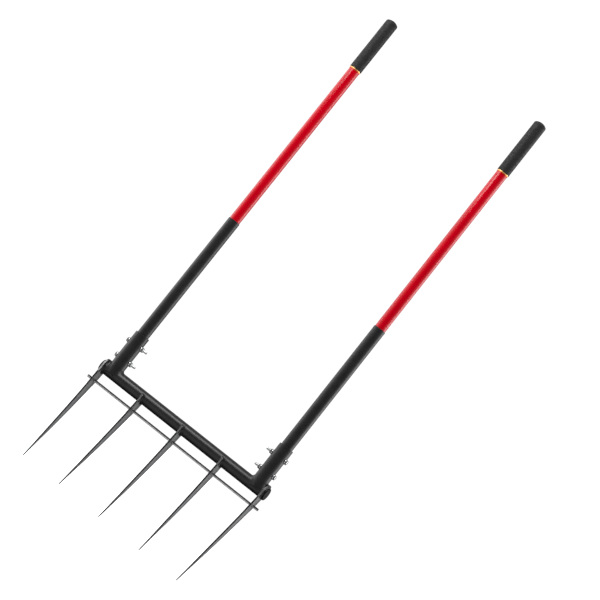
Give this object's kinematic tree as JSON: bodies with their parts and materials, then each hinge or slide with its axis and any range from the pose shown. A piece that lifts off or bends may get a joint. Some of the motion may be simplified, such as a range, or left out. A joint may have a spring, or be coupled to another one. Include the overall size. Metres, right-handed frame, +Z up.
{
  "type": "lawn aerator fork",
  "caption": "Two-handled lawn aerator fork: pointed tines hang from a tubular crossbar, and long handles in welded sockets rock it through the soil.",
  "frame": {"origin": "middle of the bounding box's underside, level with the tine tips and on the plane midway between the handles", "axes": "+X along the crossbar, to the right seen from the front; -Y forward, the way the tines reach; +Z up the handles"},
  "size_m": [0.6496, 0.1371, 1.663],
  "materials": {
    "black_paint": "satin black powder coat",
    "cap_plastic": "moulded black plastic, fine texture",
    "tine_steel": "dull grey steel with cut edges, black paint on the heads",
    "rod_steel": "bright drawn bar",
    "red_fibreglass": "glossy red resin over glass fibre",
    "grip_rubber": "matte, fine moulded grain",
    "trim_gold": "satin gold band",
    "zinc": "bright zinc plate",
    "core_wood": "turned hardwood, hidden"
  },
  "bodies": {
    "root": {"crossbar_tube": "black_paint", "left_end_cap": "cap_plastic", "right_end_cap": "cap_plastic", "left_outer_tine": "tine_steel", "left_inner_tine": "tine_steel", "centre_tine": "tine_steel", "right_inner_tine": "tine_steel", "right_outer_tine": "tine_steel", "brace_rod": "rod_steel", "left_socket": "black_paint", "right_socket": "black_paint", "left_sleeve": "black_paint", "right_sleeve": "black_paint", "left_shaft": "red_fibreglass", "right_shaft": "red_fibreglass", "left_core_plug": "core_wood", "right_core_plug": "core_wood", "left_trim_ring": "trim_gold", "right_trim_ring": "trim_gold", "left_grip": "grip_rubber", "right_grip": "grip_rubber", "left_lower_bolt": "zinc", "left_upper_bolt": "zinc", "right_lower_bolt": "zinc", "right_upper_bolt": "zinc", "left_lower_nut": "zinc", "left_upper_nut": "zinc", "right_lower_nut": "zinc", "right_upper_nut": "zinc", "left_lower_head_washer": "zinc", "left_upper_head_washer": "zinc", "right_lower_head_washer": "zinc", "right_upper_head_washer": "zinc", "left_lower_nut_washer": "zinc", "left_upper_nut_washer": "zinc", "right_lower_nut_washer": "zinc", "right_upper_nut_washer": "zinc"}
  },
  "joints": []
}
